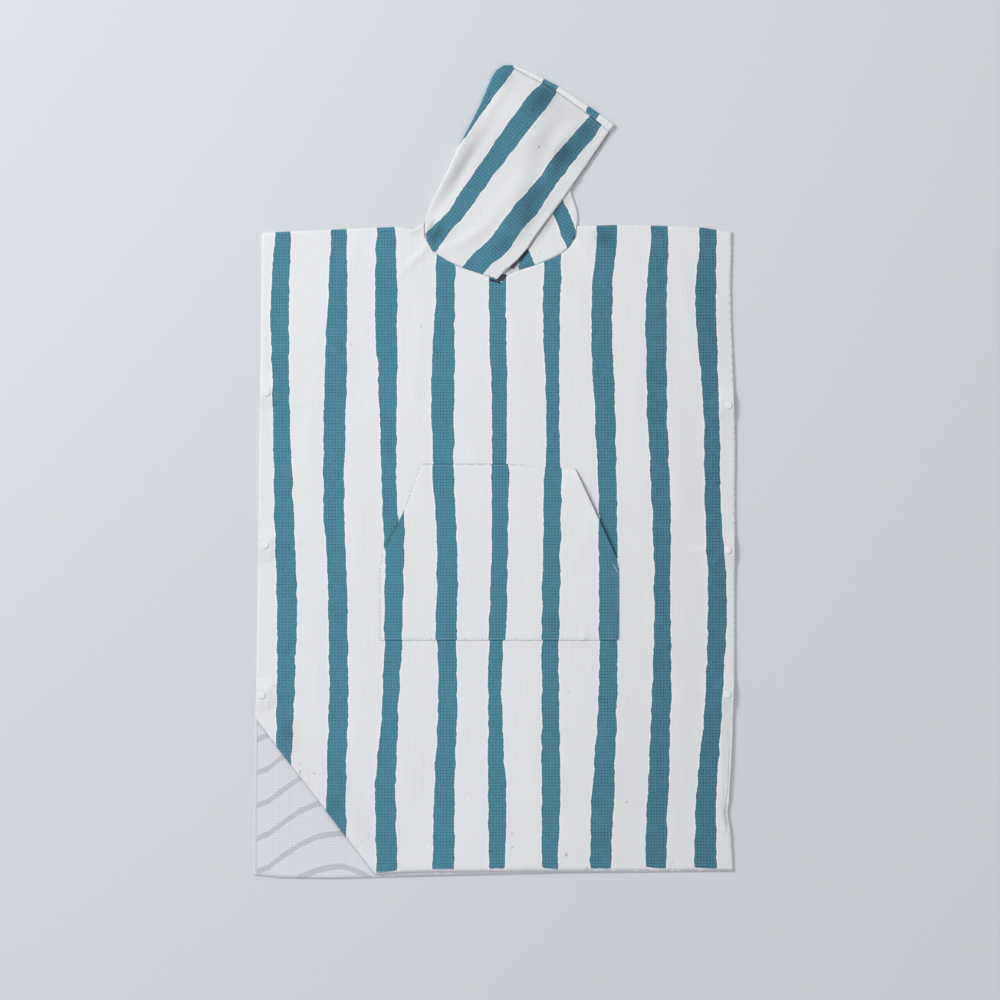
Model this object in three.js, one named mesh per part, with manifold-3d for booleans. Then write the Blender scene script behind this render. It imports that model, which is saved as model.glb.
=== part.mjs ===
// Hooded bath poncho of striped waffle cloth, laid flat on its back with the hood turned to one side.
// Millimetres. +Z is up, +Y points to the hood and +X to the right, as one looks down on the front.
// The origin is under the middle of the whole outline, on the surface that the poncho lies on.
import * as THREE from 'three';
import Module from 'manifold-3d';

// Cloth
const clothThickness = 1.2;
const seamGap = 0.3;
const layerStep = clothThickness + seamGap;

// Body panels
const bodyWidth = 809;
const sideFade = 5;
const backNeckDepth = 16;
const neckLeft = -119.2;
const neckRight = 138.5;

// Lower left corner of the front, folded under
const foldStart = new THREE.Vector2(-402, -415);
const foldEnd = new THREE.Vector2(-202, -675.5);
const foldInnerRadius = 1.0;
const foldRows = 6;
const flapRows = 4;
const flapLiftFade = 30;
const flapMargin = 6;
const flapLiftReach = 45;

// Pocket
const pocketLift = 3;
const pocketLiftReach = 45;
const openingBottom = -150;
const openingBottomReach = 40;
const openingTop = 10;
const openingTopReach = 35;

// Hood
const hoodFoldRadius = 2.0;
const neckFoldRadius = 0.75;
const sideFlapRadius = 1.4;
const hoodPuff = 0.5;
const crownRows = 5;
const foldOpensOver = 0.25;

// Hood, wearer's right side: heights of its underside over the flap, at the upper part of its face
// edge and at the crown, with the shares of the way up over which they are reached
const overFlap = 4.4;
const overFlapReach = 0.13;
const upperFace = 2.6;
const upperFaceFrom = 0.66;
const upperFaceReach = 0.15;
const faceRiseReach = 0.1;
const crownFrom = 0.86;
const middleReachFromFold = 0.4;
const middleReachFromFace = 0.12;

// Snap fasteners
const capRadius = 6.2;
const capThickness = 1.1;
const capDome = 0.25;
const postRadius = 1.3;
const socketRadius = 5.2;
const knobRadius = 2.6;
const snapSides = 12;
const postHoleRadius = 1.75;
const snapLift = 4.3;
const studLift = 1.4;
const snapLiftFlat = 9.5;
const snapLiftReach = 38;
const studLiftReach = 24;

// Side edges of the front, from the shoulder down to the hem
const leftEdge = [
  { y: 401, x: -391 }, { y: 204, x: -392.5 }, { y: 120, x: -394.5 }, { y: -48, x: -396 },
  { y: -216, x: -398 }, { y: -300, x: -399.5 }, { y: -415, x: -402 }, { y: -560, x: -404.5 },
  { y: -690, x: -404.5 },
];
const rightEdge = [
  { y: 402, x: 398.5 }, { y: 290, x: 395.5 }, { y: 204, x: 399.5 }, { y: 120, x: 402 },
  { y: 36, x: 404.5 }, { y: -48, x: 403 }, { y: -316, x: 403.5 }, { y: -389, x: 401.5 },
  { y: -461, x: 398.5 }, { y: -533, x: 395 }, { y: -570, x: 391 }, { y: -594, x: 394.5 },
  { y: -617, x: 398 }, { y: -690, x: 401 },
];

// Shoulder and neckline of the front, from left to right
const frontTop = [
  { x: -391, y: 401 }, { x: -164, y: 411 }, { x: -146, y: 408.5 }, { x: -138, y: 406 },
  { x: -128, y: 411.5 }, { x: neckLeft, y: 418 }, { x: -118.4, y: 395 }, { x: -104, y: 369 },
  { x: -84, y: 356.5 }, { x: -65, y: 346 }, { x: -42, y: 337.5 }, { x: -19, y: 330.5 },
  { x: 0, y: 323.5 }, { x: 12, y: 317.5 }, { x: 22.5, y: 329.5 }, { x: 37.5, y: 337 },
  { x: 64, y: 345 }, { x: 81, y: 351 }, { x: 100, y: 359.5 }, { x: 112, y: 365.5 },
  { x: 125, y: 375 }, { x: 137, y: 394 }, { x: neckRight, y: 412 }, { x: 204, y: 414 },
  { x: 268, y: 413 }, { x: 350, y: 409.5 }, { x: 398.5, y: 402 },
];

// Hems, from left to right
const frontHem = [
  { x: -405, y: -676.5 }, { x: -202, y: -676 }, { x: -165, y: -674 }, { x: -105, y: -672 },
  { x: 402, y: -670 },
];
const backHem = [
  { x: -405, y: -677.5 }, { x: -364, y: -682 }, { x: -283, y: -684 }, { x: -193, y: -681.5 },
  { x: 110, y: -674 }, { x: 404, y: -671.5 },
];

// Snaps: the middle of each cap, seen from above
const snaps = [
  { name: 'left_top', x: -384, y: 132.5 },
  { name: 'left_middle', x: -386, y: -123.5 },
  { name: 'left_bottom', x: -391.5, y: -375.5 },
  { name: 'right_top', x: 392, y: 111.5 },
  { name: 'right_middle', x: 391, y: -132 },
  { name: 'right_bottom', x: 390, y: -374 },
];

// Broad rises of the front where it doesn't lie quite flat on the back
const swells = [
  { x: -300, y: 250, length: 260, width: 90, turn: 75, height: 1.2 },
  { x: 250, y: 290, length: 200, width: 70, turn: 120, height: 1.4 },
  { x: 190, y: 385, length: 90, width: 30, turn: 100, height: 1.6 },
  { x: -175, y: 350, length: 150, width: 45, turn: 130, height: 1.4 },
  { x: 290, y: -30, length: 300, width: 80, turn: 95, height: 1.0 },
  { x: -290, y: -180, length: 260, width: 70, turn: 80, height: 1.0 },
  { x: 100, y: -480, length: 320, width: 90, turn: 100, height: 1.2 },
  { x: 398, y: -520, length: 210, width: 22, turn: 90, height: 2.6 },
  { x: -60, y: -620, length: 160, width: 60, turn: 70, height: 1.0 },
];

// Pocket sides and top
const pocketLeft = [
  { y: -283, x: -193 }, { y: -144, x: -193 }, { y: -75, x: -156 }, { y: 12.5, x: -124 },
];
const pocketRight = [
  { y: -283, x: 208.5 }, { y: -166, x: 208.5 }, { y: -147, x: 206 }, { y: 12.5, x: 132 },
];
const pocketTop = [
  { x: 0, y: 12.5 }, { x: 0.6, y: 12.5 }, { x: 0.8, y: 7.5 }, { x: 1, y: 5 },
];
const pocketBottom = -283;

// Hood, wearer's right side: outlines as it lies on top
const hoodBack = [
  { x: -117.3, y: 421 }, { x: -111.5, y: 440 }, { x: -101, y: 463 }, { x: -80.5, y: 501.5 },
  { x: -62.5, y: 543 }, { x: -45, y: 576 }, { x: -25, y: 615 }, { x: -11, y: 648 },
  { x: -3.5, y: 666 }, { x: 6.5, y: 679.5 }, { x: 20, y: 684 }, { x: 30, y: 682.8 },
];
const hoodNeck = [
  { x: -117.9, y: 395 }, { x: -103.6, y: 369.4 }, { x: -83.8, y: 357 },
  { x: -65, y: 346.6 }, { x: -42, y: 338.1 }, { x: -19, y: 331.2 }, { x: 4, y: 322.8 },
];
const hoodFace = [
  { x: 4, y: 322.8 }, { x: 12, y: 332 }, { x: 37.5, y: 355 }, { x: 57, y: 376.5 },
  { x: 64, y: 390 }, { x: 90, y: 424 }, { x: 115, y: 458 }, { x: 157, y: 519.5 },
  { x: 178, y: 550 }, { x: 191.5, y: 570.5 },
];
const crownSeam = [
  { x: 31.5, y: 677 }, { x: 80, y: 652.5 }, { x: 103, y: 639 },
  { x: 150, y: 605.5 }, { x: 179, y: 582.5 }, { x: 191.5, y: 570.5 },
];

// Hood, wearer's left side: its crown edge, its face edge, and the fold beside the neck
const crownEdge = [
  { x: 32.8, y: 681.6 }, { x: 45, y: 678 }, { x: 62, y: 670 }, { x: 83, y: 659.5 },
  { x: 106, y: 647.5 }, { x: 123, y: 637 }, { x: 143, y: 624 }, { x: 158, y: 613 },
  { x: 174, y: 602.5 }, { x: 201, y: 582.5 },
];
const lowerFace = [
  { x: 126.5, y: 476 }, { x: 143, y: 491.5 }, { x: 164, y: 519.5 }, { x: 185.5, y: 553 },
  { x: 201, y: 582.5 },
];
const neckFold = [
  { x: 138.3, y: 413 }, { x: 140, y: 430 }, { x: 137, y: 442.5 }, { x: 130.5, y: 460.5 },
  { x: 126.5, y: 476 },
];
const flapNeck = [
  { x: 138.3, y: 413 }, { x: 136.4, y: 394.4 }, { x: 124.6, y: 375.5 }, { x: 111.7, y: 366 },
  { x: 99.8, y: 360 }, { x: 80.8, y: 351.5 }, { x: 63.8, y: 345.6 }, { x: 37.3, y: 337.6 },
];
const flapFace = [
  { x: 37.3, y: 337.6 }, { x: 34, y: 352 }, { x: 52, y: 374 }, { x: 58, y: 390 },
  { x: 84, y: 424 }, { x: 109, y: 458 }, { x: 126.5, y: 476 },
];
const backNeckMiddle = new THREE.Vector2(8, 397.5);

const lerp = (a, b, t) => a + (b - a) * t;
const clamp = (value, low, high) => Math.min(high, Math.max(low, value));
const smooth = (t) => {
  const s = clamp(t, 0, 1);
  return s * s * (3 - 2 * s);
};
const steps = (count) => Array.from({ length: count + 1 }, (_, i) => i / count);
const along = (vector, other, t) => vector.clone().lerp(other, t);

// Value of one column of a table at a value of another column, straight between the rows
function lookUp(table, from, to, at) {
  const rows = [...table].sort((a, b) => a[from] - b[from]);
  if (at <= rows[0][from]) return rows[0][to];
  for (let i = 1; i < rows.length; i += 1) {
    if (at <= rows[i][from]) {
      return lerp(rows[i - 1][to], rows[i][to], (at - rows[i - 1][from]) / (rows[i][from] - rows[i - 1][from]));
    }
  }
  return rows[rows.length - 1][to];
}

// Point at a share of the length of an outline
function onOutline(table, share) {
  const points = table.map((row) => new THREE.Vector2(row.x, row.y));
  const lengths = points.slice(1).map((point, i) => point.distanceTo(points[i]));
  let left = share * lengths.reduce((sum, length) => sum + length, 0);
  for (let i = 0; i < lengths.length; i += 1) {
    if (left <= lengths[i]) return along(points[i], points[i + 1], left / lengths[i]);
    left -= lengths[i];
  }
  return points[points.length - 1].clone();
}

// Patch between four outlines that share their corners: bottom and top run with u, sides with v
function patch(bottom, top, left, right, u, v) {
  const corners = along(
    along(bottom(0), bottom(1), u),
    along(top(0), top(1), u),
    v,
  );
  return along(bottom(u), top(u), v).add(along(left(v), right(v), u)).sub(corners);
}

// Closed cloth wall from rows of sections. A section is a point on the printed side of the cloth
// and the one behind it on the plain side. Sections that fall together close the wall to a point.
function clothWall(name, rows, colour) {
  const positions = [];
  const index = [];
  const known = new Map();
  const vertex = (point) => {
    const key = point.toArray().map((c) => Math.round(c * 500)).join(' ');
    if (!known.has(key)) {
      known.set(key, positions.length / 3);
      positions.push(...point.toArray());
    }
    return known.get(key);
  };
  const triangle = (a, b, c) => {
    if (a !== b && b !== c && c !== a) index.push(a, b, c);
  };
  const quad = (a, b, c, d) => {
    triangle(a, b, c);
    triangle(a, c, d);
  };
  const grid = rows.map((row) => row.map((section) => section.map(vertex)));
  const lastRow = grid.length - 1;
  const lastColumn = grid[0].length - 1;
  for (let r = 0; r < lastRow; r += 1) {
    for (let c = 0; c < lastColumn; c += 1) {
      const [a, b, d, e] = [grid[r][c], grid[r][c + 1], grid[r + 1][c + 1], grid[r + 1][c]];
      quad(a[0], b[0], d[0], e[0]);
      quad(a[1], e[1], d[1], b[1]);
    }
  }
  const rim = (from, to) => quad(from[0], from[1], to[1], to[0]);
  for (let c = 0; c < lastColumn; c += 1) {
    rim(grid[0][c], grid[0][c + 1]);
    rim(grid[lastRow][c + 1], grid[lastRow][c]);
  }
  for (let r = 0; r < lastRow; r += 1) {
    rim(grid[r][lastColumn], grid[r + 1][lastColumn]);
    rim(grid[r + 1][0], grid[r][0]);
  }
  return meshOf(name, positions, index, colour, 0.9);
}

function meshOf(name, positions, index, colour, roughness) {
  const geometry = new THREE.BufferGeometry();
  geometry.setAttribute('position', new THREE.Float32BufferAttribute(positions, 3));
  geometry.setIndex(index);
  geometry.computeVertexNormals();
  const material = new THREE.MeshStandardMaterial({ color: colour, roughness, metalness: 0 });
  const mesh = new THREE.Mesh(geometry, material);
  mesh.name = name;
  return mesh;
}

// Section of cloth that lies with its printed side up, given the height of its underside
const lying = (x, y, under) => [
  new THREE.Vector3(x, y, under + clothThickness),
  new THREE.Vector3(x, y, under),
];

// Section of cloth turned over a fold. The fold's line is where the bend starts; angle 0 is the
// cloth above, 180 degrees the cloth below it, and the bend goes outwards in between.
function bent(start, outwards, middleBelow, radius, angle) {
  const height = middleBelow + radius * (1 + Math.cos(angle));
  const out = radius * Math.sin(angle);
  const normal = new THREE.Vector3(outwards.x * Math.sin(angle), outwards.y * Math.sin(angle), Math.cos(angle));
  const middle = new THREE.Vector3(start.x + outwards.x * out, start.y + outwards.y * out, height);
  return [
    middle.clone().addScaledVector(normal, clothThickness / 2),
    middle.clone().addScaledVector(normal, -clothThickness / 2),
  ];
}

// Rise of the cloth over the snaps, full over the snap and gone a finger's length away
function snapRise(x, y, reach) {
  const shares = snaps.map((snap) => {
    const distance = Math.max(Math.abs(x - snap.x), Math.abs(y - snap.y));
    return 1 - smooth((distance - snapLiftFlat) / (reach - snapLiftFlat));
  });
  return Math.max(...shares);
}

function swellHeight(x, y) {
  return swells.reduce((sum, swell) => {
    const turn = THREE.MathUtils.degToRad(swell.turn);
    const lengthwise = (x - swell.x) * Math.cos(turn) + (y - swell.y) * Math.sin(turn);
    const across = (y - swell.y) * Math.cos(turn) - (x - swell.x) * Math.sin(turn);
    const share = (lengthwise / (swell.length / 2)) ** 2 + (across / swell.width) ** 2;
    return sum + swell.height * Math.exp(-share);
  }, 0);
}

// The diagonal fold of the front: distance beyond it, its bend, and the cloth it lifts
const foldAlong = foldEnd.clone().sub(foldStart).normalize();
const foldInwards = new THREE.Vector2(-foldAlong.y, foldAlong.x);
const foldOutwards = foldInwards.clone().negate();
const foldRadius = foldInnerRadius + clothThickness / 2;
const bendStart = -(foldRadius + clothThickness / 2);
const bendLength = Math.PI * foldRadius;
const flapMiddle = layerStep + clothThickness / 2;
const beyondFold = (x, y) => new THREE.Vector2(x, y).sub(foldStart).dot(foldOutwards);
const foldHeightAt = (x, beyond) => (
  foldStart.y + (beyond - (x - foldStart.x) * foldOutwards.x) / foldOutwards.y
);

function flapRise(x, y) {
  const inside = -beyondFold(x, y);
  const corner = new THREE.Vector2(leftEdge[leftEdge.length - 1].x, frontHem[0].y);
  const tip = corner.clone().addScaledVector(foldInwards, 2 * beyondFold(corner.x, corner.y));
  const outside = (from, to) => {
    const edge = to.clone().sub(from).normalize();
    return -new THREE.Vector2(x, y).sub(from).cross(edge);
  };
  const distance = Math.max(outside(foldStart, tip), outside(tip, foldEnd), 0);
  const atFold = 2 * foldRadius - layerStep;
  const rise = layerStep + atFold * Math.exp(-inside / flapLiftFade);
  return rise * (1 - smooth((distance - flapMargin) / flapLiftReach));
}

// Underside of the front where it lies over the back
function frontUnder(x, y) {
  const rise = Math.max(snapLift * snapRise(x, y, snapLiftReach), flapRise(x, y));
  const calm = 1 - smooth(rise / 2);
  return layerStep + rise + swellHeight(x, y) * calm;
}

// Rows of both panels run across; the two columns are their heights at the left and right edges
const panelRows = [
  { left: 450, right: 450 }, { left: 380, right: 380 }, { left: 345, right: 345 },
  { left: 312, right: 312 }, { left: 262, right: 255 }, { left: 210, right: 195 },
  { left: 162, right: 141 }, { left: 142, right: 121 }, { left: 123, right: 102 },
  { left: 103, right: 82 }, { left: 60, right: 45 }, { left: 15, right: 8 },
  { left: -35, right: -40 }, { left: -94, right: -102 }, { left: -114, right: -122.5 },
  { left: -133, right: -141.5 }, { left: -153, right: -161.5 }, { left: -205, right: -210 },
  { left: -255, right: -255 }, { left: -300, right: -300 }, { left: -346, right: -344.5 },
  { left: -366, right: -364.5 }, { left: -385, right: -383.5 }, { left: -405, right: -403.5 },
  { left: -450, right: -450 }, { left: -500, right: -500 }, { left: -545, right: -545 },
  { left: -570, right: -570 }, { left: -595, right: -595 }, { left: -640, right: -640 },
  { left: -720, right: -720 },
];

// Heights at the left edge of the rows that the flat back panel keeps
const backRows = [
  450, 312, 210, 162, 142, 123, 103, -35, -94, -114, -133, -153, -255, -346, -366, -385, -405,
  -500, -570, -595, -640, -720,
];

// Place across a panel: straight columns, with the bends of each side edge fading inwards
function acrossPanel(share, y) {
  const left = -bodyWidth / 2;
  const right = bodyWidth / 2;
  const nearLeft = (1 - share) ** sideFade;
  const nearRight = share ** sideFade;
  const leftShift = lookUp(leftEdge, 'y', 'x', y) - left;
  const rightShift = lookUp(rightEdge, 'y', 'x', y) - right;
  return lerp(left, right, share) + leftShift * nearLeft + rightShift * nearRight;
}
const shareAt = (x) => x / bodyWidth + 0.5;

// Share of the width of a column that meets the shoulder line at a given place
function shareOnShoulder(x) {
  let share = shareAt(x);
  for (let turn = 0; turn < 6; turn += 1) share += shareAt(x - acrossPanel(share, frontTop[0].y)) - 0.5;
  return share;
}

// Panel columns, as places across the body
const edgeColumns = [-404.5, -384, -364];
const oppositeColumns = edgeColumns.map((x) => -x).reverse();
const leftColumns = [-335, -305, -275, -245, -222, -211, -203, -194, -182];
const rightColumns = [165, 235, 305];
const frontColumns = [
  ...[...edgeColumns, ...leftColumns, ...rightColumns, ...oppositeColumns].map(shareAt),
  ...frontTop.slice(1, -1).map((row) => shareOnShoulder(row.x)),
].sort((a, b) => a - b);
const backColumns = [
  ...[...edgeColumns, -320, -270, -220].map(shareAt),
  ...[-164, -138, neckLeft, -100, -60, -26, 8, 42, 76, 116, neckRight].map(shareOnShoulder),
  ...[200, 260, 320, ...oppositeColumns].map(shareAt),
];

// Place on a column of a panel at a wanted height, kept between the column's ends. A height that
// comes close to an end falls on it.
const rowMerge = 5;
function onColumn(share, wanted, low, high) {
  const y = wanted > high - rowMerge ? high : wanted;
  const kept = y < low + rowMerge ? low : y;
  return new THREE.Vector2(acrossPanel(share, kept), kept);
}

// Height at which a column is a given distance beyond the fold's line
function foldHeightOn(share, beyond) {
  let y = foldStart.y;
  for (let turn = 0; turn < 8; turn += 1) y = foldHeightAt(acrossPanel(share, y), beyond);
  return y;
}

function frontPanel() {
  const pastCorner = 1;
  const hemMerge = 0.4;
  const top = (share) => lookUp(frontTop, 'x', 'y', acrossPanel(share, frontTop[0].y));
  const hem = (share) => lookUp(frontHem, 'x', 'y', acrossPanel(share, frontHem[0].y));
  const sectionAt = ({ x, y }) => {
    const beyond = beyondFold(x, y);
    if (beyond <= bendStart) return lying(x, y, frontUnder(x, y));
    const angle = Math.min((beyond - bendStart) / foldRadius, Math.PI);
    const back = Math.max(beyond - bendStart - bendLength, 0);
    const start = new THREE.Vector2(x, y).addScaledVector(foldOutwards, bendStart - beyond - back);
    const edgeUnder = frontUnder(start.x, start.y);
    const radius = (edgeUnder + clothThickness / 2 - flapMiddle) / 2;
    return bent(start, foldOutwards, flapMiddle, radius, angle);
  };
  const upper = panelRows.map((row) => frontColumns.map((share) => {
    const low = Math.max(foldHeightOn(share, bendStart), hem(share));
    return sectionAt(onColumn(share, lerp(row.left, row.right, share), low, top(share)));
  }));
  const corner = beyondFold(leftEdge[leftEdge.length - 1].x, frontHem[0].y);
  const flapStart = bendStart + bendLength;
  const beyonds = [
    ...steps(foldRows).slice(1).map((t) => bendStart + bendLength * t),
    ...steps(flapRows).slice(1).map((t) => lerp(flapStart, corner + pastCorner, t)),
  ];
  const lower = beyonds.map((beyond) => frontColumns.map((share) => {
    const wanted = foldHeightOn(share, beyond);
    const y = wanted < hem(share) + hemMerge ? hem(share) : wanted;
    return sectionAt(new THREE.Vector2(acrossPanel(share, y), y));
  }));
  return clothWall('front_panel', [...upper, ...lower].reverse(), 0xdfe3e6);
}

const backNeck = (x) => {
  const half = (neckRight - neckLeft) / 2;
  const share = (x - neckLeft) / half - 1;
  return lookUp(frontTop, 'x', 'y', neckRight) - backNeckDepth * (1 - share * share);
};

function backPanel() {
  const rowsKept = panelRows.filter((row) => backRows.includes(row.left));
  const rows = rowsKept.map((row) => backColumns.map((share) => {
    const across = acrossPanel(share, frontTop[0].y);
    const inNeck = across > neckLeft + seamGap && across < neckRight - seamGap;
    const top = inNeck ? backNeck(across) : lookUp(frontTop, 'x', 'y', across);
    const hem = lookUp(backHem, 'x', 'y', acrossPanel(share, backHem[0].y));
    const { x, y } = onColumn(share, lerp(row.left, row.right, share), hem, top);
    return lying(x, y, studLift * snapRise(x, y, studLiftReach)).reverse();
  }));
  return clothWall('back_panel', rows, 0xd9d9e2);
}

function pocket() {
  const rows = steps(12).map((v) => steps(14).map((u) => {
    const top = lookUp(pocketTop, 'x', 'y', u);
    const y = lerp(pocketBottom, top, v);
    const x = lerp(lookUp(pocketLeft, 'y', 'x', y), lookUp(pocketRight, 'y', 'x', y), u);
    const toOpening = (lookUp(pocketRight, 'y', 'x', y) - x) / pocketLiftReach;
    const fromTop = smooth((openingTop - y) / openingTopReach);
    const middleOfOpening = smooth((y - openingBottom) / openingBottomReach) * fromTop;
    const lift = pocketLift * (1 - smooth(toOpening)) * middleOfOpening;
    return lying(x, y, frontUnder(x, y) + layerStep + lift);
  }));
  return clothWall('pocket', rows, 0xe2e5e8);
}

// Radius of the hood's folds: tight at the neck seam and round further up
const hoodRadius = (v, full) => lerp(neckFoldRadius, full, smooth(v / foldOpensOver));
const groundMiddle = clothThickness / 2;

// Centre back seam, underneath: from the middle of the back neck to the back of the head, and
// from there close along the edge to the crown
const seamMeets = 0.42;
const seamInset = 6;
const seamInsetAtCrown = 3.1;
const seamNarrowsFrom = 0.8;
const seamNarrowsOver = 0.14;
const hoodSeamGap = seamGap + 0.2;
const wideGapAtCrown = 0.9;
const wideGapFrom = 0.7;
const wideGapReach = 0.2;
const crownGap = seamGap + 0.1;
const crownCornerGap = 0.5;
const neckRunIn = 5;

// Columns of the hood's two sides, with a narrow one at the corner of the crown
const hoodColumns = [0, 0.025, 0.1, 0.2, 0.3, 0.4, 0.5, 0.6, 0.7, 0.8, 0.9, 1];

function hoodSilhouette(v) {
  const edge = onOutline(hoodBack, v);
  const direction = onOutline(hoodBack, Math.min(v + 0.02, 1)).sub(onOutline(hoodBack, Math.max(v - 0.02, 0)));
  const inwards = new THREE.Vector2(direction.y, -direction.x).normalize();
  return { edge, inwards };
}

function centreBackSeam(v) {
  const { edge, inwards } = hoodSilhouette(v);
  const narrowing = smooth((v - seamNarrowsFrom) / seamNarrowsOver);
  const inset = lerp(seamInset, seamInsetAtCrown, narrowing);
  const narrow = edge.clone().addScaledVector(inwards, inset);
  if (v >= seamMeets) return narrow;
  const meeting = hoodSilhouette(seamMeets);
  const end = meeting.edge.clone().addScaledVector(meeting.inwards, seamInset);
  return along(backNeckMiddle, end, v / seamMeets);
}

function hoodRightSide() {
  const left = (v) => {
    const { edge, inwards } = hoodSilhouette(v);
    return edge.addScaledVector(inwards, hoodRadius(v, hoodFoldRadius) + clothThickness / 2);
  };
  const right = (v) => onOutline(hoodFace, v);
  const bottom = (u) => onOutline([left(0), ...hoodNeck], u);
  const top = (u) => onOutline([left(1), ...crownSeam], u);
  const underAt = (u, v) => {
    const foldHeight = 2 * hoodRadius(v, hoodFoldRadius);
    const middle = lerp(layerStep, overFlap, smooth(v / overFlapReach));
    const faceHeight = lerp(middle, upperFace, smooth((v - upperFaceFrom) / upperFaceReach));
    const faceEdge = lerp(layerStep, faceHeight, smooth(v / faceRiseReach));
    const sides = lerp(foldHeight, faceEdge, smooth(u));
    const towardsMiddle = smooth(u / middleReachFromFold) * smooth((1 - u) / middleReachFromFace);
    const inner = Math.max(sides, lerp(sides, middle, towardsMiddle));
    const dome = hoodPuff * 16 * u * (1 - u) * v * (1 - v);
    return lerp(inner, 2 * hoodFoldRadius, smooth((v - crownFrom) / (1 - crownFrom))) + dome;
  };
  const backNeckOutline = (t) => {
    const from = left(0);
    const x = lerp(from.x, backNeckMiddle.x, t);
    return new THREE.Vector2(x, lerp(from.y, backNeck(x) + hoodSeamGap, smooth(t * neckRunIn)));
  };
  const rows = steps(20).map((v) => {
    const { inwards } = hoodSilhouette(v);
    const outwards = inwards.clone().negate();
    const start = left(v);
    const radius = hoodRadius(v, hoodFoldRadius);
    const seam = centreBackSeam(v);
    const below = steps(4).slice(1).reverse().map((t) => {
      const neckShift = backNeckOutline(t).sub(along(left(0), centreBackSeam(0), t));
      const share = v < seamMeets ? 1 - v / seamMeets : 0;
      const point = along(start, seam, t).addScaledVector(neckShift, share);
      return lying(point.x, point.y, 0).reverse();
    });
    const bend = steps(5).slice(0, -1).reverse().map((t) => (
      bent(start, outwards, groundMiddle, radius, Math.PI * t)
    ));
    const underneath = bent(start, outwards, groundMiddle, radius, Math.PI);
    const above = hoodColumns.slice(1).map((u) => {
      const point = patch(bottom, top, left, right, u, v);
      return lying(point.x, point.y, underAt(u, v));
    });
    return [...below, underneath, ...bend, ...above];
  });
  return clothWall('hood_right_side', rows, 0xe4e6ea);
}

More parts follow.
